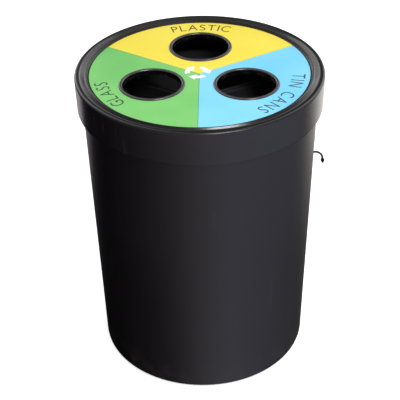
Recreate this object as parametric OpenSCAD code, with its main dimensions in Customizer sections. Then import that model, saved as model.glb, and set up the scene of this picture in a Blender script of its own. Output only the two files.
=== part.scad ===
// Round three-stream litter bin for sorted waste.
// A tapered plastic tub carries a lift-off lid with a deep skirt. The lid has three round
// throw-in apertures, and a wedge-shaped liner with a wire bail stands under each of them.
// Millimetres, +Z up. The origin is the centre of the foot on the floor, and the front is -Y.

/* [Overall] */
// Outer diameter of the lid
lid_d = 560; // [465:5:680]
// Height from the floor to the crest of the lid
bin_h = 730; // [600:5:880]
// Outer diameter of the tub at its foot
base_d = 494; // [415:5:600]

/* [Lid] */
// Height of the lid from its crest to the lower edge of its skirt
skirt_h = 80; // [60:1:110]
// Wall thickness of the lid
lid_wall = 4; // [3:0.5:5]
// How much the skirt's radius grows from its lower edge to the lip
skirt_draft = 2; // [0:0.5:2]
// Width of the raised lip round the top
lip_w = 28; // [18:1:30]
// Rounding of the lip's outer edge
lip_round = 6; // [6:0.5:12]
// Depth of the top panel below the crest of the lip
recess_d = 6; // [4:0.5:10]
// Height of the stiffening ribs under the top panel
rib_h = 10; // [5:1:14]
// Thickness of the stiffening ribs
rib_t = 3; // [2:0.5:4]

/* [Apertures] */
// Clear diameter of each throw-in aperture
aperture_d = 130; // [105:1:160]
// Radius of the circle on which the apertures are centred
aperture_circle_r = 120; // [105:1:130]
// Width of the trim ring's visible flange
ring_flange_w = 8; // [5:0.5:10]
// Height of the trim ring above the top panel
ring_h = 3.5; // [2:0.5:5]
// Wall thickness of the trim ring's neck
ring_neck_t = 2.7; // [2:0.1:4]
// How far the trim ring's neck reaches below the top panel
ring_neck_drop = 6; // [4:0.5:8]

/* [Labels] */
// Thickness of the printed vinyl labels
label_t = 0.4; // [0.2:0.1:1]
// Gap between the labels and the foot of the lip
label_margin = 2; // [2:0.5:10]
// Width of the joint between two labels
label_joint = 0.4; // [0.2:0.1:2]
// Distance in front of the lid's centre at which the three labels meet
label_apex_offset = 11; // [0:1:20]

/* [Tub] */
// Wall thickness of the tub
tub_wall = 4; // [3:0.5:5]
// Thickness of the tub's floor
tub_floor_t = 5; // [4:0.5:8]
// Height of the floor's underside above the ground
foot_h = 8; // [4:1:12]
// Width of the standing ring round the foot
foot_w = 32; // [25:1:45]
// Rounding of the tub's lower edge
foot_round = 12; // [6:1:16]
// How far the rolled rim stands out from the wall
rim_out = 7; // [6:0.5:9]
// Height of the rolled rim
rim_h = 18; // [12:1:25]
// Wall thickness of the rolled rim
rim_t = 3; // [2:0.5:4]
// Clearance between the rolled rim and the lid
rim_gap = 1.2; // [0.8:0.1:2]

/* [Liners] */
// Wall thickness of the liners
liner_wall = 3; // [2:0.5:4]
// Drop from the underside of the top panel to the liners' rims
liner_drop = 65; // [55:1:80]
// Clearance between a liner's wall and the tub's wall at the floor
liner_gap = 6; // [5:0.5:10]
// Distance from a liner's flat wall to the plane that parts two streams
liner_side_gap = 8; // [7:0.5:12]
// How far a liner's rim stands out from its wall
liner_rim_out = 6.5; // [5:0.5:6.5]
// Height of a liner's rim
liner_rim_h = 20; // [12:1:24]
// Rounding of a liner's outer corners
liner_corner_r = 22; // [15:1:30]
// Rounding of a liner's inner corner
liner_apex_r = 26; // [20:1:35]
// Height of the inset foot of a liner
liner_foot_h = 10; // [6:1:14]

/* [Bails] */
// Diameter of the bail wire
wire_d = 5; // [4:0.5:6]
// Distance from the bin's axis to the bail's pivot line
pivot_x = 112; // [95:1:118]
// Half the span between the bail's arms
bail_half_span = 147; // [125:1:147]
// Depth of the pivot line below the liner's rim
pivot_drop = 20; // [16:1:26]
// Radius of the bail's two long bends
bail_bend_r = 20; // [15:1:30]
// Radius of the bends at the pivots
pin_bend_r = 6; // [5:0.5:8]
// Length of the pivot pins inside the ears
pin_len = 11; // [6:0.5:12]
// Clearance round the pivot pins
pin_gap = 0.3; // [0.2:0.05:0.4]
// Diameter of the hand grip
grip_d = 16; // [12:1:18]
// Angle that the hand grip covers
grip_angle = 26; // [16:1:40]
// Clearance between the grip and the liner's wall
grip_gap = 3; // [2:0.5:6]

/* [Tether] */
// Diameter of the tether cord
cord_d = 5; // [4:0.5:6]
// Height of the tether's hole above the floor
tether_z = 511; // [500:1:520]
// Clearance round the cord in its hole
tether_hole_gap = 0.5; // [0.3:0.1:1]
// Diameter of the tether's knots
knot_d = 9.4; // [8:0.2:10]
// Length of the inner knot
inner_knot_len = 9; // [7:0.5:10]
// Length of the outer knot with its end
outer_knot_len = 14; // [10:0.5:18]

/* [Hidden] */

$fn = 120;
eps = 0.01;
seat_gap = 0.3;

// The streams' directions: back, front left, front right
back_angle = 90;
left_angle = 210;
right_angle = 330;
stream_angles = [back_angle, left_angle, right_angle];
half_sector = 60;

// Colours
moulded_black = [0.16, 0.15, 0.16];
liner_grey = [0.25, 0.25, 0.27];
zinc = [0.72, 0.73, 0.75];
cord_black = [0.07, 0.07, 0.07];
stream_yellow = [0.93, 0.8, 0.1];
stream_green = [0.25, 0.66, 0.22];
stream_blue = [0.3, 0.75, 0.93];

// Lid
lid_r = lid_d / 2;
lip_inner_r = lid_r - lip_w;
edge_r = recess_d / 2;
panel_top = bin_h - recess_d;
panel_bottom = panel_top - lid_wall;
skirt_low = bin_h - skirt_h;
skirt_edge_r = lid_wall / 2;

// Aperture rings
ring_inner_r = aperture_d / 2;
ring_outer_r = ring_inner_r + ring_flange_w;
ring_neck_r = ring_inner_r + ring_neck_t;
ring_fit = 0.2;
panel_hole_r = ring_neck_r + ring_fit;
snap_bead = 0.8;
snap_bead_h = 3;

// Labels
label_r = lip_inner_r - edge_r - label_margin;
label_cut_r = ring_outer_r + ring_fit;

// Tub
base_r = base_d / 2;
tub_top = bin_h - lid_wall;
rim_r = lid_r - lid_wall - rim_gap;
rim_round = lip_round - lid_wall;
tub_top_r = rim_r - rim_out;
floor_top = foot_h + tub_floor_t;
floor_fillet = 6;
foot_chamfer = 2;

// Outer radius of the tub's wall at height z
function tub_r(z) =
  base_r + (tub_top_r - base_r) * (z - foot_round) / (tub_top - tub_wall - foot_round);

// Liners
liner_top = panel_bottom - liner_drop;
liner_r = min(tub_r(floor_top), tub_r(liner_top)) - tub_wall - liner_gap;
liner_rim_side = liner_side_gap - liner_rim_out;
liner_rim_bottom = liner_top - liner_rim_h;
liner_foot_inset = 10;
liner_bottom = floor_top + seat_gap;
liner_floor_t = 4;

// Bails
wire_r = wire_d / 2;
grip_r = grip_d / 2;
mark_proud = 0.05;
pivot_z = liner_top - pivot_drop;
bail_r = liner_r - liner_wall - grip_gap - grip_r;
ear_r = 9;
ear_gap = 0.5;
ear_y = bail_half_span + pin_bend_r + ear_gap;
ledge_w = 40;
ledge_h = 12;
ledge_reach = 14;

// Centre and start of the bail's long bends
bend_y = bail_half_span - bail_bend_r;
bend_x = sqrt(pow(bail_r - bail_bend_r, 2) - pow(bend_y, 2));
bend_angle = atan2(bend_y, bend_x);

// Tether. The route's points are places of the cord's centre line.
cord_sides = 10;
knot_face_r = cord_d / 2;
cord_route = [
  [257, 0, 511],
  [263.5, 0, 511],
  [269.5, 0, 511],
  [275, 0, 509],
  [279.5, 0, 505],
  [282.5, 0, 500],
  [283.5, 0, 494]
];
outer_knot_lean = 190;
inner_knot_x = cord_route[0][0] - inner_knot_len;

// Points of an arc about [x, y], from angle a to angle b
function arc(x, y, r, a, b, n = 8) =
  [for (i = [0:n]) let (t = a + (b - a) * i / n) [x + r * cos(t), y + r * sin(t)]];

// Outline of a wedge that lies about +X, with its flat sides a distance side from the
// planes that part the streams
function wedge(r, side, corner_r, apex_r) =
  let (
    near = side + corner_r,
    along = sqrt(pow(r - corner_r, 2) - pow(near, 2)),
    cx = along * cos(half_sector) + near * sin(half_sector),
    cy = along * sin(half_sector) - near * cos(half_sector),
    phi = atan2(cy, cx),
    wall_angle = half_sector + 90,
    apex_x = (side + apex_r) / sin(half_sector)
  )
  concat(
    arc(0, 0, r, -phi, phi, 48),
    arc(cx, cy, corner_r, phi, wall_angle),
    arc(apex_x, 0, apex_r, wall_angle, 360 - wall_angle, 12),
    arc(cx, -cy, corner_r, 360 - wall_angle, 360 - phi)
  );

module liner_prism(inset, side_inset, low, high) {
  translate([0, 0, low])
  linear_extrude(high - low)
  polygon(wedge(liner_r - inset, liner_side_gap + side_inset,
    liner_corner_r - min(inset, liner_corner_r - 8), liner_apex_r));
}

module tub_shell() {
  inner_top_r = tub_top_r - tub_wall;
  inner_low_r = tub_r(floor_top) - tub_wall;
  rotate_extrude($fn = 180)
  polygon(concat(
    [[0, foot_h], [base_r - foot_w - foot_chamfer, foot_h], [base_r - foot_w, 0]],
    arc(base_r - foot_round, foot_round, foot_round, -90, 0),
    [
      [tub_top_r, tub_top - tub_wall],
      [rim_r - rim_t, tub_top - tub_wall],
      [rim_r - rim_t, tub_top - rim_h],
      [rim_r, tub_top - rim_h]
    ],
    arc(rim_r - rim_round, tub_top - rim_round, rim_round, 0, 90),
    [[inner_top_r, tub_top]],
    arc(inner_low_r - floor_fillet, floor_top + floor_fillet, floor_fillet, 0, -90),
    [[0, floor_top]]
  ));
}

module tub() {
  color(moulded_black)
  difference() {
    tub_shell();
    translate([tub_r(tether_z) - 2 * tub_wall, 0, tether_z])
    rotate([0, 90, 0])
    cylinder(r = cord_d / 2 + tether_hole_gap, h = 3 * tub_wall, $fn = 32);
  }
}

module lid_shell() {
  skirt_inner_r = lid_r - lid_wall;
  rotate_extrude($fn = 180)
  polygon(concat(
    [[0, panel_bottom], [lip_inner_r + lid_wall - edge_r, panel_bottom]],
    [[lip_inner_r + lid_wall, panel_bottom + edge_r], [lip_inner_r + lid_wall, bin_h - lid_wall]],
    arc(lid_r - lip_round, bin_h - lip_round, lip_round - lid_wall, 90, 0),
    [[skirt_inner_r - skirt_draft, skirt_low + skirt_edge_r]],
    arc(lid_r - skirt_draft - skirt_edge_r, skirt_low + skirt_edge_r, skirt_edge_r, 180, 360),
    arc(lid_r - lip_round, bin_h - lip_round, lip_round, 0, 90),
    arc(lip_inner_r + edge_r, bin_h - edge_r, edge_r, 90, 180, 5),
    arc(lip_inner_r - edge_r, panel_top + edge_r, edge_r, 0, -90, 5),
    [[0, panel_top]]
  ));
}

module lid() {
  color(moulded_black) {
    difference() {
      lid_shell();
      for (a = stream_angles)
        rotate([0, 0, a])
        translate([aperture_circle_r, 0, panel_bottom - 1])
        cylinder(r = panel_hole_r, h = lid_wall + 2);
    }
    for (a = stream_angles)
      rotate([0, 0, a + half_sector])
      translate([0, -rib_t / 2, panel_bottom - rib_h])
      cube([lip_inner_r - edge_r, rib_t, rib_h + lid_wall / 2]);
  }
}

module aperture_ring(angle) {
  flange_round = ring_h;
  neck_low = panel_bottom - ring_neck_drop;
  bead_top = panel_bottom - ring_fit;
  color(moulded_black)
  rotate([0, 0, angle])
  translate([aperture_circle_r, 0, 0])
  rotate_extrude()
  polygon(concat(
    [
      [ring_inner_r, neck_low],
      [ring_neck_r, neck_low],
      [ring_neck_r, bead_top - snap_bead_h],
      [ring_neck_r + snap_bead, bead_top - snap_bead_h / 2],
      [ring_neck_r + snap_bead, bead_top],
      [ring_neck_r, bead_top],
      [ring_neck_r, panel_top],
      [ring_outer_r, panel_top]
    ],
    arc(ring_outer_r - flange_round, panel_top, flange_round, 10, 90, 6),
    arc(ring_inner_r + flange_round, panel_top, flange_round, 90, 180, 6)
  ));
}

// A printed vinyl label: the part of the disc between two directions, in degrees
module stream_label(from, to) {
  apex = [0, -label_apex_offset];
  reach = 2 * lid_r;
  edge_a = label_r * [cos(from), sin(from)] - apex;
  edge_b = label_r * [cos(to), sin(to)] - apex;
  middle = edge_a / norm(edge_a) + edge_b / norm(edge_b);
  inset = label_joint / norm(middle) * middle / norm(middle);
  translate([0, 0, panel_top])
  linear_extrude(label_t)
  difference() {
    intersection() {
      circle(r = label_r, $fn = 180);
      translate(apex + inset)
      polygon([
        [0, 0],
        reach * edge_a / norm(edge_a),
        reach * middle / norm(middle) * 2,
        reach * edge_b / norm(edge_b)
      ]);
    }
    for (a = stream_angles)
      rotate(a)
      translate([aperture_circle_r, 0])
      circle(r = label_cut_r);
  }
}

// A lug on the liner's flat wall that takes one pivot pin
module bail_ear() {
  difference() {
    intersection() {
      union() {
        translate([pivot_x, ear_y, pivot_z])
        rotate([-90, 0, 0])
        cylinder(r = ear_r, h = 4 * ear_r, $fn = 48);
        translate([pivot_x - ear_r, ear_y, pivot_z - 2 * ear_r])
        cube([2 * ear_r, 4 * ear_r, 2 * ear_r]);
      }
      liner_prism(liner_wall / 2, liner_wall / 2, liner_bottom, liner_top);
    }
    translate([pivot_x, ear_y - 1, pivot_z])
    rotate([-90, 0, 0])
    cylinder(r = wire_r + pin_gap, h = pin_len + 2, $fn = 48);
  }
}

module liner(angle) {
  rim_skin_low = liner_top - liner_wall;
  color(liner_grey)
  rotate([0, 0, angle]) {
    difference() {
      union() {
        liner_prism(liner_foot_inset, liner_foot_inset, liner_bottom, liner_bottom + liner_foot_h);
        liner_prism(0, 0, liner_bottom + liner_foot_h, liner_top);
        difference() {
          liner_prism(-liner_rim_out, -liner_rim_out, liner_rim_bottom, liner_top);
          difference() {
            liner_prism(liner_wall - liner_rim_out, liner_wall - liner_rim_out,
              liner_rim_bottom - 1, rim_skin_low);
            liner_prism(eps, eps, liner_rim_bottom - 2, liner_top);
          }
        }
      }
      liner_prism(liner_foot_inset + liner_wall, liner_foot_inset + liner_wall,
        liner_bottom + liner_floor_t, liner_bottom + liner_foot_h + liner_floor_t + eps);
      liner_prism(liner_wall, liner_wall,
        liner_bottom + liner_foot_h + liner_floor_t, liner_top + 1);
    }
    bail_ear();
    mirror([0, 1, 0])
    bail_ear();
    translate([liner_r - liner_wall / 2 - ledge_reach, -ledge_w / 2, pivot_z - grip_r - seat_gap - ledge_h])
    cube([ledge_reach, ledge_w, ledge_h]);
  }
}

// A stretch of bent wire about [x, y], from angle a to angle b
module wire_bend(x, y, r, a, b) {
  translate([x, y, 0])
  rotate([0, 0, a])
  rotate_extrude(angle = b - a)
  translate([r, 0])
  circle(r = wire_r, $fn = 32);
}

// A straight stretch of wire from [x, y], along +X turned by angle
module wire_run(x, y, angle, length) {
  translate([x, y, 0])
  rotate([0, 90, angle])
  cylinder(r = wire_r, h = length, $fn = 32);
}

// The slight swelling that a bending tool leaves where a bend meets the next stretch
module bend_mark(x, y) {
  translate([x, y, 0])
  sphere(r = wire_r + mark_proud, $fn = 32);
}

module bail(angle) {
  pin_bend_x = pivot_x + pin_bend_r;
  pin_bend_y = bail_half_span + pin_bend_r;
  color(zinc)
  rotate([0, 0, angle])
  translate([0, 0, pivot_z]) {
    wire_bend(0, 0, bail_r, -bend_angle, bend_angle);
    wire_bend(bend_x, bend_y, bail_bend_r, bend_angle, 90);
    wire_bend(bend_x, -bend_y, bail_bend_r, -90, -bend_angle);
    wire_bend(pin_bend_x, pin_bend_y, pin_bend_r, 180, 270);
    wire_bend(pin_bend_x, -pin_bend_y, pin_bend_r, 90, 180);
    for (side = [-1, 1]) {
      wire_run(pin_bend_x, side * bail_half_span, 0, bend_x - pin_bend_x);
      wire_run(pivot_x, side * pin_bend_y, side * 90, ear_gap + pin_len);
      bend_mark(bail_r * cos(bend_angle), side * bail_r * sin(bend_angle));
      bend_mark(bend_x, side * bail_half_span);
      bend_mark(pin_bend_x, side * bail_half_span);
      bend_mark(pivot_x, side * pin_bend_y);
    }
  }
}

module bail_grip(angle) {
  bore_r = wire_r + 0.1;
  color(moulded_black)
  rotate([0, 0, angle - grip_angle / 2])
  translate([0, 0, pivot_z])
  rotate_extrude(angle = grip_angle)
  translate([bail_r, 0])
  difference() {
    circle(r = grip_r, $fn = 40);
    circle(r = bore_r, $fn = 32);
  }
}

// Direction of the cord at point i of the route: square to each knot at the ends
function heading(i) =
  i == 0 ? [1, 0, 0] :
  i == len(cord_route) - 1 ? [sin(outer_knot_lean), 0, cos(outer_knot_lean)] :
  let (step = cord_route[i + 1] - cord_route[i - 1])
  step / norm(step);

// Ring of points round the cord at point i. The route lies in the XZ plane.
function cord_ring(i) =
  let (h = heading(i), across = [-h[2], 0, h[0]])
  [for (k = [0:cord_sides - 1])
    let (t = 360 * k / cord_sides)
    cord_route[i] + cord_d / 2 * (cos(t) * across + sin(t) * [0, 1, 0])];

module tether_cord() {
  rings = len(cord_route);
  points = [for (i = [0:rings - 1]) each cord_ring(i)];
  sides = [
    for (i = [0:rings - 2], k = [0:cord_sides - 1])
      let (m = (k + 1) % cord_sides, a = i * cord_sides, b = a + cord_sides)
      [a + k, a + m, b + m, b + k]
  ];
  first = [for (k = [cord_sides - 1:-1:0]) k];
  last = [for (k = [0:cord_sides - 1]) (rings - 1) * cord_sides + k];
  color(cord_black)
  polyhedron(points, concat(sides, [first, last]));
}

// A tight barrel knot along +Z, with flat faces where the cord enters
module knot(length) {
  bulge = knot_d / 2;
  shoulder = bulge - knot_face_r;
  rotate_extrude($fn = 32)
  polygon(concat(
    [[0, 0]],
    arc(knot_face_r, shoulder, shoulder, -90, 0, 5),
    arc(knot_face_r, length - shoulder, shoulder, 0, 90, 5),
    [[0, length]]
  ));
}

module tether_knot_inner() {
  color(cord_black)
  translate([inner_knot_x, 0, cord_route[0][2]])
  rotate([0, 90, 0])
  knot(inner_knot_len);
}

module tether_knot_outer() {
  color(cord_black)
  translate(cord_route[len(cord_route) - 1])
  rotate([0, outer_knot_lean, 0])
  knot(outer_knot_len);
}

tub();
lid();
aperture_ring(back_angle);  // aperture_ring_back
aperture_ring(left_angle);  // aperture_ring_left
aperture_ring(right_angle);  // aperture_ring_right
color(stream_yellow) stream_label(back_angle - half_sector, back_angle + half_sector);  // label_yellow
color(stream_green) stream_label(left_angle - half_sector, left_angle + half_sector);  // label_green
color(stream_blue) stream_label(right_angle - half_sector, right_angle + half_sector);  // label_blue
liner(back_angle);  // liner_back
liner(left_angle);  // liner_left
liner(right_angle);  // liner_right
bail(back_angle);  // bail_back
bail(left_angle);  // bail_left
bail(right_angle);  // bail_right
bail_grip(back_angle);  // bail_grip_back
bail_grip(left_angle);  // bail_grip_left
bail_grip(right_angle);  // bail_grip_right
tether_cord();
tether_knot_outer();
tether_knot_inner();
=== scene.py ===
"""Three-stream litter bin: the looks of a round black bin with a sorting lid, around its CAD frame."""

import math

import bpy
from mathutils import Matrix, Vector


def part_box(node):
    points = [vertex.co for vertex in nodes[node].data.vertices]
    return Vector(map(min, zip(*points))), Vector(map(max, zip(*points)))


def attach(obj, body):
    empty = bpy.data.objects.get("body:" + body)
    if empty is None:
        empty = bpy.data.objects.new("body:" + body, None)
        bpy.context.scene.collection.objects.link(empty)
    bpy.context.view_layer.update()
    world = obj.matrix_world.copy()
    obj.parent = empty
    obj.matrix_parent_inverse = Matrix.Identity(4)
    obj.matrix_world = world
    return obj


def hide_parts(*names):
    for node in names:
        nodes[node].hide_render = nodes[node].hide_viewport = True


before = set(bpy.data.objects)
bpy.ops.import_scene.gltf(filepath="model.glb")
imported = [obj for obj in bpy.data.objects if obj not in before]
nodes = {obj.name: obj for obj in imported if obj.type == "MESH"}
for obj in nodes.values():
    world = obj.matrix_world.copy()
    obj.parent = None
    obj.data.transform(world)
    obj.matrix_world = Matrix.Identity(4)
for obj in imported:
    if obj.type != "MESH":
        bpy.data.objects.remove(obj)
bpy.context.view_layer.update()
scene = bpy.context.scene
scene.view_settings.view_transform = "Standard"

# ---------------------------------------------------------------------------
# Camera: a long lens at standing height, looking down on the lid so that the
# three throw-in holes and the front of the tub are both in view.
# ---------------------------------------------------------------------------
CAMERA_AT = Vector((-0.0067, -2.349, 1.973))
CAMERA_DOWN = 0.597
CAMERA_ROLL = -0.019
CAMERA_TURN = math.radians(1.5)
CAMERA_LENS = 106.5

ahead = Vector((0, math.cos(CAMERA_DOWN), -math.sin(CAMERA_DOWN)))
level_up = Vector((0, math.sin(CAMERA_DOWN), math.cos(CAMERA_DOWN)))
sideways = Vector((1, 0, 0)) * math.cos(CAMERA_ROLL) + level_up * math.sin(CAMERA_ROLL)
upwards = sideways.cross(ahead)
around = Matrix.Rotation(CAMERA_TURN, 3, "Z")
bpy.ops.object.camera_add(location=around @ CAMERA_AT)
camera = bpy.context.active_object
camera.name = "camera"
camera.rotation_euler = (around @ Matrix((sideways, upwards, -ahead)).transposed()).to_euler()
camera.data.lens = CAMERA_LENS
camera.data.sensor_width = 36
camera.data.shift_x = 0.0024
camera.data.shift_y = 0.0004
camera.data.clip_end = 100
scene.camera = camera


# ---------------------------------------------------------------------------
# Tether cord: a short braided nylon cord that comes out of a drilled hole high
# in the wall, bends down under its own weight and stops at a knot. It is round
# cord of eight carriers, so its skin is a fine diagonal weave.
# ---------------------------------------------------------------------------
class Value:
    """A shader socket that number expressions can be written with."""

    def __init__(self, finish, socket):
        self.finish, self.socket = finish, socket

    def math(self, operation, *inputs):
        return self.finish.add("ShaderNodeMath", {"operation": operation}, inputs)

    def __add__(self, other):
        return self.math("ADD", self, other)

    def __sub__(self, other):
        return self.math("SUBTRACT", self, other)

    def __rsub__(self, other):
        return self.math("SUBTRACT", other, self)

    def __mul__(self, other):
        return self.math("MULTIPLY", self, other)

    __radd__ = __add__

    def between(self, low, high):
        """0 below low, 1 above high, and a smooth step from one to the other."""
        settings = {"interpolation_type": "SMOOTHSTEP"}
        return self.finish.add("ShaderNodeMapRange", settings, (self, low, high, 0.0, 1.0))


class Sheet:
    """A node tree, to which nodes are added one call at a time."""

    def __init__(self, tree):
        self.tree = tree

    def add(self, kind, settings, inputs, out=0):
        node = self.tree.nodes.new(kind)
        for setting, value in settings.items():
            if setting == "stops":
                while len(node.color_ramp.elements) < len(value):
                    node.color_ramp.elements.new(1)
                for element, (at, shade) in zip(node.color_ramp.elements, value):
                    element.position, element.color = at, (shade, shade, shade, 1)
            else:
                setattr(node, setting, value)
        for key, given in inputs.items() if isinstance(inputs, dict) else enumerate(inputs):
            socket = node.inputs[key]
            if isinstance(given, Value):
                self.tree.links.new(given.socket, socket)
            elif socket.type == "RGBA":
                socket.default_value = (*given, 1)
            else:
                socket.default_value = given
        return Value(self, node.outputs[out])

    def mix(self, amount, low, high):
        """A colour between two, by a number from 0 to 1."""
        return self.add("ShaderNodeMix", {"data_type": "RGBA"}, {0: amount, 6: low, 7: high}, out=2)


class Finish(Sheet):
    """One material: its shader's constants, and its textures on the piece's own coordinates."""

    def __init__(self, name, **constants):
        self.material = bpy.data.materials.new(name)
        self.material.use_nodes = True
        super().__init__(self.material.node_tree)
        self.shader = self.tree.nodes["Principled BSDF"]
        for socket, value in constants.items():
            self.shader.inputs[socket.replace("_", " ")].default_value = value
        self.place = self.add("ShaderNodeTexCoord", {}, (), out="Object")

    def noise(self, scale, detail=3.0, roughness=0.5, at=None):
        inputs = {"Vector": at or self.place, "Scale": scale, "Detail": detail, "Roughness": roughness}
        return self.add("ShaderNodeTexNoise", {}, inputs)

    def stretched(self, x, y, z):
        return self.add("ShaderNodeMapping", {}, {"Vector": self.place, "Scale": (x, y, z)})

    def axes(self):
        return [self.add("ShaderNodeSeparateXYZ", {}, (self.place,), out=n) for n in range(3)]

    def feed(self, **values):
        for socket, value in values.items():
            self.tree.links.new(value.socket, self.shader.inputs[socket.replace("_", " ")])

    def bump(self, height, depth):
        self.feed(Normal=self.add("ShaderNodeBump", {}, {"Height": height, "Distance": depth}))

    def on(self, *pieces):
        """Puts this material on every face of the pieces."""
        for piece in pieces:
            for slot in piece.material_slots:
                slot.material = self.material
            if not piece.material_slots:
                piece.data.materials.append(self.material)


def smooth_path(points, steps):
    """Points on one smooth curve through the given ones, by Catmull and Rom's rule."""
    ends = [2 * points[0] - points[1], *points, 2 * points[-1] - points[-2]]
    path = []
    for a, b, c, d in zip(ends, ends[1:], ends[2:], ends[3:]):
        for n in range(steps):
            t = n / steps
            path.append(0.5 * (2 * b + (c - a) * t + (2 * a - 5 * b + 4 * c - d) * t**2
                               + (3 * b - a - 3 * c + d) * t**3))
    return [*path, points[-1]]


def braided_tube(name, path, radius, sides=32, carriers=8, pitch=0.0035, weave=0.00028):
    """A closed tube along a path, whose skin stands proud where a carrier passes over."""
    tangents = [(b - a).normalized() for a, b in zip([path[0], *path], [*path[1:], path[-1]])]
    tangents[0], tangents[-1] = (path[1] - path[0]).normalized(), (path[-1] - path[-2]).normalized()
    side = tangents[0].cross(Vector((0, 1, 0.3))).normalized()
    points, run = [], 0.0
    for n, (middle, along) in enumerate(zip(path, tangents)):
        run += (middle - path[n - 1]).length if n else 0
        side = (side - along * side.dot(along)).normalized()
        other = along.cross(side)
        for k in range(sides):
            turn = math.tau * k / sides
            left = math.sin(carriers / 2 * turn + math.tau * run / pitch)
            right = math.sin(carriers / 2 * turn - math.tau * run / pitch)
            out = radius + weave * (max(abs(left), abs(right)) - 1)
            points.append(middle + (side * math.cos(turn) + other * math.sin(turn)) * out)
    rings = len(path)
    faces = [
        (n * sides + k, n * sides + (k + 1) % sides, (n + 1) * sides + (k + 1) % sides, (n + 1) * sides + k)
        for n in range(rings - 1) for k in range(sides)
    ]
    points += [path[0], path[-1]]
    last = (rings - 1) * sides
    for k in range(sides):
        following = (k + 1) % sides
        faces.append((rings * sides, following, k))
        faces.append((rings * sides + 1, last + k, last + following))
    mesh = bpy.data.meshes.new(name)
    mesh.from_pydata(points, [], faces)
    mesh.update()
    piece = bpy.data.objects.new(name, mesh)
    scene.collection.objects.link(piece)
    bpy.ops.object.select_all(action="DESELECT")
    piece.select_set(True)
    bpy.context.view_layer.objects.active = piece
    bpy.ops.object.mode_set(mode="EDIT")
    bpy.ops.mesh.select_all(action="SELECT")
    bpy.ops.mesh.normals_make_consistent(inside=False)
    bpy.ops.object.mode_set(mode="OBJECT")
    bpy.ops.object.shade_smooth()
    return piece


CORD_THICK = 0.005
CORD_ROUTE = [(257, 511), (263.5, 511), (269.5, 511), (275, 509), (279.5, 505), (282.5, 500), (283.5, 494)]
cord_stops = [Vector((x, 0, z)) / 1000 for x, z in CORD_ROUTE]
cord_path = smooth_path(cord_stops, 12)
cord_length = sum((b - a).length for a, b in zip(cord_path, cord_path[1:]))
cord = braided_tube("tether_cord_braid", cord_path, CORD_THICK / 2)

braid = Finish("braided_nylon", Roughness=0.62, Specular_IOR_Level=0.15)
strand = braid.noise(2600, 2, at=braid.stretched(1, 1, 0.35))
dust = braid.noise(160, 4).between(0.5, 0.75)
braid.feed(Base_Color=braid.mix(strand * 0.6 + dust * 0.4, (0.002, 0.002, 0.002), (0.014, 0.014, 0.015)))
braid.feed(Roughness=strand * 0.25 + 0.5)
braid.bump(strand, 0.0002)
braid.on(cord)


# ---------------------------------------------------------------------------
# Tether knots: a stopper knot ties the cord off on each side of the wall: three
# turns and a short frayed tuft outside, two turns and no tuft inside.
# ---------------------------------------------------------------------------
def stopper_knot(name, node, start, away, turns, tuft):
    """Turns of cord wound tight round the cord's end, in the CAD knot's box; tuft is the frayed part."""
    low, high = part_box(node)
    middle = (Vector(low) + Vector(high)) / 2
    along = away.normalized()
    length = (middle - start).dot(along) * 2
    side = along.cross(Vector((0, 1, 0.2))).normalized()
    other = along.cross(side)
    wrap = 0.0022
    wound = (length - 2 * wrap) * (1 - tuft)
    helix = []
    steps = turns * 28
    for n in range(steps + 1):
        turn = math.tau * turns * n / steps
        reach = 0.0024 - 0.0011 * max(0, 1 - n / 6, 1 - (steps - n) / 6)
        helix.append(start + along * (wrap + wound * n / steps)
                     + (side * math.cos(turn) + other * math.sin(turn)) * reach)
    knot = braided_tube(name, helix, wrap, sides=20, carriers=6)
    tail = [start + along * (wrap + (length - 2 * wrap) * t) for t in (0.0, 0.3, 0.6, 0.85, 1.0)]
    end = braided_tube(name + "_tail", smooth_path(tail, 5), 0.002, sides=20)
    frays = []
    for n in range(9 if tuft else 0):
        lean = math.tau * n / 9
        out = (side * math.cos(lean) + other * math.sin(lean))
        root = start + along * (length - 2.5 * wrap) + out * 0.0011
        tip = start + along * (length - 0.0002 * (n % 3)) + out * (0.0022 + 0.0004 * (n % 2))
        frays.append(braided_tube(f"{name}_fray_{n}", [root, (root + tip) / 2 + out * 0.0002, tip],
                                  0.0004, sides=8, weave=0))
    bpy.ops.object.select_all(action="DESELECT")
    for piece in (end, *frays, knot):
        piece.select_set(True)
    bpy.context.view_layer.objects.active = knot
    bpy.ops.object.join()
    braid.on(knot)
    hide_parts(node)
    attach(knot, "tub")
    return knot


outer_knot = stopper_knot("tether_knot_outer_tied", "tether_knot_outer",
                          cord_path[-1], cord_path[-1] - cord_path[-2], turns=3, tuft=0.3)
inner_knot = stopper_knot("tether_knot_inner_tied", "tether_knot_inner",
                          cord_path[0], cord_path[0] - cord_path[1], turns=2, tuft=0)

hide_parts("tether_cord")
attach(cord, "tub")


# ---------------------------------------------------------------------------
# Tub: one large moulding in black polyethylene with a rolled rim and round
# feet. The mould leaves a fine grain and a slight orange peel; use leaves dust
# low down, dull rubbed bands and upright scuffs.
# ---------------------------------------------------------------------------
GRAIN_DEPTH = 0.00012


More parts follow.
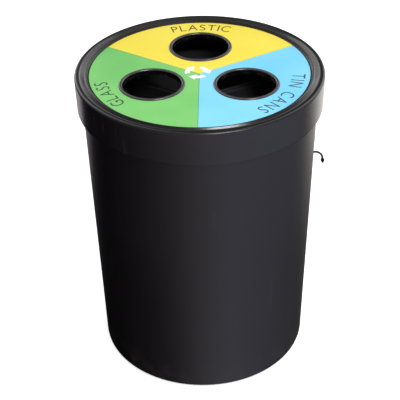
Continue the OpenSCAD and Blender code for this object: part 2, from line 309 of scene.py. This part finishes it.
def moulded(name, dark, light, roughness, crown=0.0):
    """Grained polyethylene, dulled by scuffs and dust; crown is how far the lip falls outwards."""
    plastic = Finish(name, IOR=1.5)
    grain = plastic.noise(1500, 2)
    peel = plastic.noise(140, 2)
    drift = plastic.noise(4.5, 3)
    scuffs = plastic.noise(60, 5, 0.65, at=plastic.stretched(1, 1, 0.09)).between(0.60, 0.74)
    specks = plastic.noise(420, 2).between(0.70, 0.78)
    east, north, height = plastic.axes()
    grime = (1 - height.between(0.0, 0.11)) * plastic.noise(24, 5, 0.6).between(0.4, 0.75)
    body = plastic.mix(drift, dark, light)
    worn = plastic.mix(scuffs * 0.10 + specks * 0.16, body, (0.040, 0.038, 0.041))
    plastic.feed(Base_Color=plastic.mix(grime * 0.14, worn, (0.050, 0.045, 0.040)))
    plastic.feed(Roughness=roughness + scuffs * 0.10 + drift * 0.08 + grime * 0.12 + grain * 0.05)
    relief = grain * 0.35 + peel * 1.0 + scuffs * 0.15
    if crown:
        square = east * east + north * north
        fall = square.math("SQRT", square).between(*LIP_FALL)
        relief += fall * (1 - north.between(0.05, 0.20) * 0.9) * (-crown / GRAIN_DEPTH)
    plastic.bump(relief, GRAIN_DEPTH)
    return plastic


moulded("moulded_black_tub", (0.0016, 0.0012, 0.0016), (0.0036, 0.0029, 0.0038), 0.28).on(nodes["tub"])

# ---------------------------------------------------------------------------
# Lid: a lift-off cap of the same black polyethylene with a deep skirt and a
# crowned lip round a shallow tray, which falls outwards most at the front. It
# is handled most, so it is smoother than the tub.
# ---------------------------------------------------------------------------
LIP_FALL = (0.252, 0.270)
LIP_CROWN = 0.014

moulded("moulded_black_lid", (0.0022, 0.0018, 0.0023), (0.0046, 0.0039, 0.0050), 0.14, LIP_CROWN).on(nodes["lid"])

# ---------------------------------------------------------------------------
# Aperture rings: three snap-in trims in harder black plastic, with a rounded
# bead that covers the cut edge of each throw-in hole. Patchy rubbed wear makes
# them paler in places, and the top of each bead is painted paler as a painted highlight.
# ---------------------------------------------------------------------------
# Height band of the bead's top, which is painted paler as a painted highlight.
BEAD_HIGHLIGHT_RISE = (0.7235, 0.7260)

ring_black = Finish("ring_black", IOR=1.5)
rub = ring_black.noise(45, 5, 0.6).between(0.45, 0.7)
ring_grain = ring_black.noise(1800, 2)
# Painted highlight: the top of each bead is painted paler where light would catch it.
painted_bead_highlight = ring_black.axes()[2].between(*BEAD_HIGHLIGHT_RISE)
# Base colour: random rubbed wear, plus the painted highlight on the bead tops.
ring_black.feed(Base_Color=ring_black.mix(rub * 0.3 + painted_bead_highlight * 0.7, (0.003, 0.003, 0.003), (0.060, 0.055, 0.057)))
ring_black.feed(Roughness=rub * 0.12 + ring_grain * 0.06 + 0.16)
ring_black.bump(ring_grain, 0.00005)
ring_black.on(*(nodes["aperture_ring_" + side] for side in ("back", "left", "right")))


# ---------------------------------------------------------------------------
# Stream labels: three sectors of printed self-adhesive vinyl under a clear
# film, one colour for each stream. The print fades a little, and wiping has
# left hairline scratches and a few specks of dirt.
# ---------------------------------------------------------------------------
def vinyl(name, shade, faded):
    film = Finish(name, IOR=1.46, Coat_Roughness=0.12)
    fade = film.noise(5, 2)
    hairs = film.noise(70, 4, 0.7, at=film.stretched(1, 14, 1)).between(0.66, 0.72)
    wiped = film.noise(9, 3)
    dirt = film.noise(230, 3, 0.6).between(0.71, 0.77)
    dots = film.noise(3200, 0)
    print_colour = film.mix(fade.between(0.3, 0.7), shade, faded)
    inked = film.mix(dots * 0.06, print_colour, (1.0, 1.0, 1.0))
    scratched = film.mix(hairs * 0.10, inked, (0.85, 0.85, 0.85))
    film.feed(Base_Color=film.mix(dirt * 0.35, scratched, (0.10, 0.09, 0.08)))
    film.feed(Roughness=wiped * 0.16 + hairs * 0.2 + 0.26)
    film.feed(Coat_Weight=wiped * 0.2 + 0.15)
    film.bump(film.noise(28, 2) + hairs * -0.1, 0.00015)
    return film


vinyl("yellow_vinyl_print", (0.88, 0.71, 0.033), (0.91, 0.75, 0.062)).on(nodes["label_yellow"])
vinyl("green_vinyl_print", (0.13, 0.50, 0.105), (0.20, 0.60, 0.150)).on(nodes["label_green"])
vinyl("blue_vinyl_print", (0.15, 0.60, 0.92), (0.23, 0.68, 0.97)).on(nodes["label_blue"])


# ---------------------------------------------------------------------------
# Lettering: the plain name of each waste stream, printed in dark ink on its
# label in thin capitals that follow the rim, tops outwards. The letters of the
# two front words are set a little wider apart.
# ---------------------------------------------------------------------------
LABEL_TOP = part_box("label_yellow")[1][2]
PRINT_THICK = 0.00006
LETTER_SIZE = 0.0438
LETTER_NARROW = 0.80

ink = Finish("dark_ink", IOR=1.45)
ink_wear = ink.noise(300, 4, 0.6)
ink.feed(Base_Color=ink.mix(ink_wear, (0.020, 0.022, 0.020), (0.060, 0.062, 0.058)))
ink.feed(Roughness=ink_wear * 0.2 + 0.30)
ink.bump(ink_wear, 0.00002)


def letter_mesh(letter):
    """One capital as a thin flat solid, its foot at zero and its middle across at zero."""
    bpy.ops.object.select_all(action="DESELECT")
    bpy.ops.object.text_add()
    piece = bpy.context.active_object
    piece.data.body = letter
    piece.data.size = LETTER_SIZE
    piece.data.offset = -0.0002
    piece.data.extrude = PRINT_THICK / 2
    piece.data.resolution_u = 6
    bpy.ops.object.convert(target="MESH")
    piece = bpy.context.active_object
    piece.scale = (LETTER_NARROW, 1, 1)
    bpy.ops.object.transform_apply(location=False, rotation=False, scale=True)
    left = min(v.co.x for v in piece.data.vertices)
    wide = max(v.co.x for v in piece.data.vertices) - left
    for v in piece.data.vertices:
        v.co.x -= left + wide / 2
    return piece, wide


def lettering(name, word, bearing, gap, foot):
    """A word whose feet stand on a circle of radius foot, with its middle at a bearing in degrees."""
    letters, run = [], 0.0
    for letter in word:
        if letter == " ":
            run += gap * 2.5
            continue
        piece, wide = letter_mesh(letter)
        letters.append((piece, run + wide / 2))
        run += wide + gap
    run -= gap
    for piece, at in letters:
        turn = math.radians(bearing) - (at - run / 2) / (foot + 0.016)
        placed = Matrix.Rotation(turn - math.pi / 2, 4, "Z")
        placed = placed @ Matrix.Translation((0, foot, LABEL_TOP + PRINT_THICK / 2))
        piece.data.transform(placed)
    bpy.ops.object.select_all(action="DESELECT")
    for piece, _ in letters:
        piece.select_set(True)
    bpy.context.view_layer.objects.active = letters[0][0]
    bpy.ops.object.join()
    joined = bpy.context.active_object
    joined.name = name
    ink.on(joined)
    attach(joined, "lid")


lettering("lettering_back", "PLASTIC", 90, 0.0055, 0.206)
lettering("lettering_left", "GLASS", 207.5, 0.0072, 0.209)
lettering("lettering_right", "TIN CANS", 331.2, 0.0080, 0.2065)

# ---------------------------------------------------------------------------
# Sorting arrows: three plain white arrows that chase round the middle of the
# lid, printed across the joint of the three labels.
# ---------------------------------------------------------------------------
ARROW_MIDDLE = Vector((-0.005, -0.004, 0))
ARROW_RADIUS = 0.0225
ARROW_BAND = 0.0115
ARROW_SWEEP = math.radians(54)
ARROW_HEAD = 0.0165
ARROW_START = math.radians(75)

white_ink = Finish("white_ink", IOR=1.45)
white_wear = white_ink.noise(260, 4, 0.6)
white_ink.feed(Base_Color=white_ink.mix(white_wear, (0.95, 0.95, 0.94), (0.84, 0.85, 0.84)))
white_ink.feed(Roughness=white_wear * 0.2 + 0.30)
white_ink.bump(white_wear, 0.00002)


bpy.ops.object.select_all(action="DESELECT")
bpy.ops.mesh.primitive_plane_add(size=1, location=(0, 0, 0))
arrow = bpy.context.active_object
arrow.data.transform(Matrix.Translation((ARROW_RADIUS, 0, 0)) @ Matrix.Diagonal((ARROW_BAND, 0, 1, 1)))
bpy.ops.object.mode_set(mode="EDIT")
bpy.ops.mesh.select_all(action="SELECT")
bpy.ops.mesh.remove_doubles(threshold=0.00001)
bpy.ops.mesh.spin(steps=16, angle=ARROW_SWEEP, center=(0, 0, 0), axis=(0, 0, 1))
bpy.ops.object.mode_set(mode="OBJECT")
picked = [v.co.copy() for v in arrow.data.vertices if v.select]
band_end = sum(picked, Vector()) / len(picked)
forward = Vector((band_end.y, -band_end.x, 0)).normalized()
bpy.ops.object.mode_set(mode="EDIT")
bpy.ops.mesh.extrude_region_move(TRANSFORM_OT_translate={"value": (0, 0, 0)})
bpy.ops.transform.resize(value=(2.1, 2.1, 1), center_override=band_end)
bpy.ops.mesh.extrude_region_move(TRANSFORM_OT_translate={"value": forward * ARROW_HEAD})
bpy.ops.mesh.merge(type="CENTER")
bpy.ops.mesh.select_all(action="SELECT")
bpy.ops.mesh.normals_make_consistent(inside=False)
bpy.ops.mesh.extrude_region_move(TRANSFORM_OT_translate={"value": (0, 0, PRINT_THICK)})
bpy.ops.mesh.select_all(action="SELECT")
bpy.ops.mesh.normals_make_consistent(inside=False)
bpy.ops.object.mode_set(mode="OBJECT")
chasing = [arrow]
for turned in (1, 2):
    copied = bpy.data.objects.new("arrow_copy", arrow.data.copy())
    scene.collection.objects.link(copied)
    copied.data.transform(Matrix.Rotation(math.tau / 3 * turned, 4, "Z"))
    chasing.append(copied)
bpy.ops.object.select_all(action="DESELECT")
for one in chasing:
    one.select_set(True)
bpy.context.view_layer.objects.active = arrow
bpy.ops.object.join()
arrow.name = "sorting_arrows"
arrow.data.transform(Matrix.Translation(ARROW_MIDDLE + Vector((0, 0, LABEL_TOP)))
                     @ Matrix.Rotation(ARROW_START, 4, "Z"))
white_ink.on(arrow)
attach(arrow, "lid")


# ---------------------------------------------------------------------------
# Liners: three dark grey inner bins of polypropylene, one for each stream.
# Bags and cans have drawn upright marks down their walls.
# ---------------------------------------------------------------------------
liner_grey = Finish("liner_grey_moulded", IOR=1.49)
marks = liner_grey.noise(50, 5, 0.65, at=liner_grey.stretched(1, 1, 0.06)).between(0.52, 0.72)
stain = liner_grey.noise(7, 4)
liner_grain = liner_grey.noise(1400, 2)
liner_grey.feed(Base_Color=liner_grey.mix(marks * 0.5 + stain * 0.3, (0.022, 0.022, 0.024), (0.011, 0.011, 0.012)))
liner_grey.feed(Roughness=marks * 0.15 + stain * 0.1 + 0.40)
liner_grey.bump(liner_grain * 0.3 + marks, 0.00012)
liner_grey.on(*(nodes["liner_" + side] for side in ("back", "left", "right")))

# ---------------------------------------------------------------------------
# Bails: bent zinc-plated steel wire, with a black sleeve in the middle to lift
# by. Plating is slightly mottled, and duller in patches.
# ---------------------------------------------------------------------------
zinc = Finish("zinc_plated_wire", Metallic=1.0)
mottle = zinc.noise(220, 4, 0.6)
zinc.feed(Base_Color=zinc.mix(mottle, (0.62, 0.63, 0.66), (0.40, 0.41, 0.42)))
zinc.feed(Roughness=mottle * 0.3 + 0.22)
zinc.bump(zinc.noise(900, 2), 0.00004)
zinc.on(*(nodes["bail_" + side] for side in ("back", "left", "right")))

sleeve = Finish("sleeve_black", IOR=1.5)
sleeve_grain = sleeve.noise(1200, 3)
sleeve.feed(Base_Color=sleeve.mix(sleeve.noise(60, 4), (0.012, 0.012, 0.013), (0.030, 0.029, 0.030)))
sleeve.feed(Roughness=sleeve_grain * 0.2 + 0.5)
sleeve.bump(sleeve_grain, 0.0001)
sleeve.on(*(nodes["bail_grip_" + side] for side in ("back", "left", "right")))

# ---------------------------------------------------------------------------
# Studio: a pale floor that gives light of its own, a large soft light ahead and
# to the right, and surroundings that are dim on the left, so that the black
# walls shade from one side to the other.
# ---------------------------------------------------------------------------
bpy.ops.object.select_all(action="DESELECT")
bpy.ops.mesh.primitive_plane_add(size=40, location=(0, 0, 0))
floor = bpy.context.active_object
floor.name = "studio_floor"
floor.visible_glossy = False
paper = Finish("pale_floor", IOR=1.4, Emission_Color=(1, 1, 1, 1), Emission_Strength=0.62)
paper_grain = paper.noise(90, 4)
paper.feed(Base_Color=paper.mix(paper_grain, (0.86, 0.86, 0.86), (0.90, 0.90, 0.90)))
paper.feed(Roughness=paper_grain * 0.1 + 0.85)
paper.on(floor)

# How bright the surroundings are at each bearing from the camera's side, in degrees: below the
# line where the tub's wall is seen, at the height of the skirt's reflections, and overhead.
FLOOR_LIGHT = ((-180, 0.0), (-150, 0.0), (-90, 0.0), (-60, 0.012), (-40, 0.07), (-20, 0.24),
               (0, 0.53), (30, 0.76), (60, 0.46), (90, 0.27), (120, 0.12), (140, 0.04))
WALL_LIGHT = ((-180, 0.4), (-158, 0.6), (-150, 0.9), (-145, 0.8), (-138, 0.02), (-95, 0.0),
              (-60, 0.14), (-40, 0.34), (-20, 0.52), (0, 0.76), (30, 0.98), (60, 1.0), (90, 0.66),
              (116, 0.35), (126, 1.1), (140, 1.5), (165, 1.3))
HIGH_LIGHT = ((-180, 0.12), (-168, 0.3), (-148, 2.4), (-112, 0.5), (-60, 0.30), (0, 0.60),
              (40, 0.65), (100, 0.5), (138, 2.4), (168, 0.25))

world = bpy.data.worlds.new("studio")
scene.world = world
world.use_nodes = True
room = Sheet(world.node_tree)
towards = room.add("ShaderNodeTexCoord", {}, (), out="Generated")
east, north, up = (room.add("ShaderNodeSeparateXYZ", {}, (towards,), out=n) for n in range(3))
bearing = east.math("ARCTAN2", east, north * -1) * (1 / math.tau) + 0.5


def all_round(levels):
    """Brightness by bearing, from pairs of a bearing and a level."""
    stops = [(at / 360 + 0.5, level) for at, level in levels]
    return room.add("ShaderNodeValToRGB", {"stops": [*stops, (1, levels[0][1])]}, (bearing,))


background = world.node_tree.nodes["Background"]
sides = bearing.between(0.78, 0.86) - bearing.between(0.10, 0.16) + 1
low = room.mix((up - sides * 0.052).between(-0.592, -0.574), all_round(FLOOR_LIGHT), all_round(WALL_LIGHT))
tinted = room.mix(bearing.between(0.40, 0.66), (1.0, 0.90, 0.98), (0.93, 0.95, 1.17))
tinted = room.mix(bearing.between(0.78, 0.86), tinted, (1.06, 1.0, 0.95))
low = room.add("ShaderNodeMix", {"data_type": "RGBA", "blend_type": "MULTIPLY"}, {0: 1.0, 6: low, 7: tinted}, out=2)
glow = room.mix(up.between(-0.1, 0.25), low, all_round(HIGH_LIGHT))
world.node_tree.links.new(glow.socket, background.inputs["Color"])
background.inputs["Strength"].default_value = 1.0


def softbox(name, at, wide, deep, power):
    """A rectangular light that faces the middle of the bin."""
    bpy.ops.object.light_add(type="AREA", location=at)
    light = bpy.context.active_object
    light.name = name
    light.data.shape = "RECTANGLE"
    light.data.size, light.data.size_y = wide, deep
    light.data.energy = power
    light.rotation_euler = (Vector((0, 0, 0.7)) - Vector(at)).to_track_quat("-Z", "Y").to_euler()


softbox("key_softbox", (0.75, -1.45, 2.6), 1.0, 0.5, 38)
